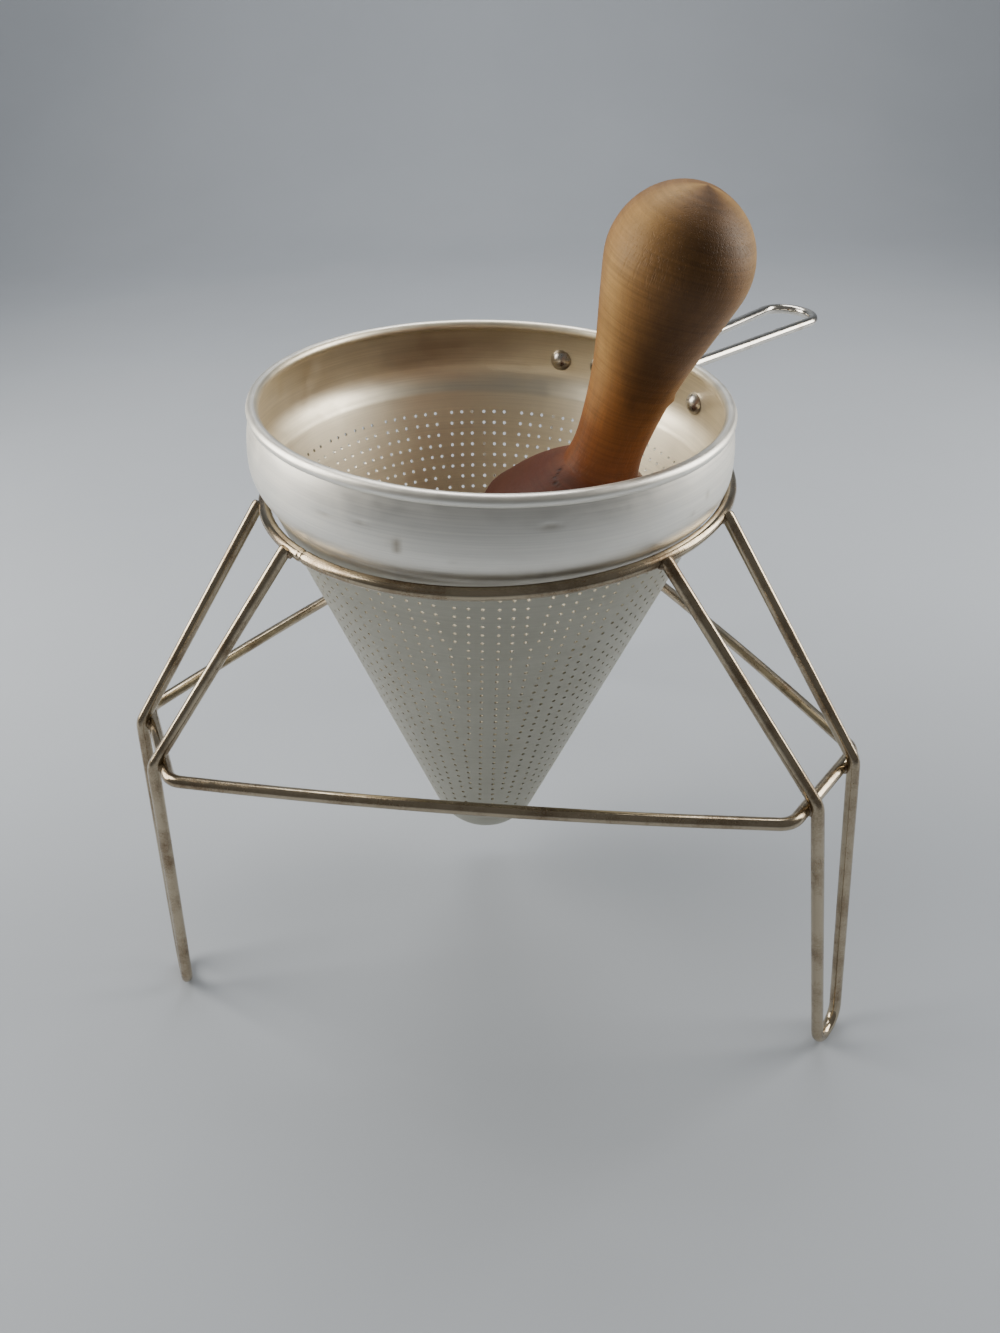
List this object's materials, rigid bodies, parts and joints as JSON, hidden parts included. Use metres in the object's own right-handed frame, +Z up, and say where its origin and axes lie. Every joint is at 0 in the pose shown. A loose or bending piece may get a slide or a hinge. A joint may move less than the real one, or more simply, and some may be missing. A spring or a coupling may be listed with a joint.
{
  "type": "cone ricer with stand and pestle",
  "caption": "Cone-shaped perforated metal strainer with a wire loop handle, standing in a three-legged wire stand, with a turned wooden pestle for pressing soft food through.",
  "frame": {"origin": "on the floor, under the middle of the stand's upper ring", "axes": "+Z up; the front, with the two nearer legs, is towards -Y and the handle points to +X +Y"},
  "size_m": [0.3433, 0.3059, 0.3361],
  "materials": {
    "spun_aluminium": "satin spun sheet, dull grey outside, warm cream inside",
    "handle_wire": "bright plated wire with light tarnish",
    "rivet_metal": "polished domes",
    "plated_wire": "bright plated wire with warm tarnish",
    "pestle_wood": "worn bare wood, dark reddish brown at the head"
  },
  "bodies": {
    "stand": {"stand_ring": "plated_wire", "stand_brace": "plated_wire", "leg_left": "plated_wire", "leg_right": "plated_wire", "leg_rear": "plated_wire"},
    "strainer": {"strainer_cone": "spun_aluminium", "handle_wire": "handle_wire", "rivet_1": "rivet_metal", "rivet_2": "rivet_metal", "rivet_3": "rivet_metal", "rivet_4": "rivet_metal"},
    "pestle": {"pestle": "pestle_wood"}
  },
  "joints": [
    {"name": "strainer_lift", "type": "slide", "parent": "stand", "child": "strainer", "axis": [0, 0, 1], "range_m": [0, 0.2]},
    {"name": "pestle_roll", "type": "hinge", "parent": "strainer", "child": "pestle", "pos_m": [-0.0022, 0, 0.2229], "axis": [0.0591, -0.012, 0.9982], "continuous": true}
  ]
}
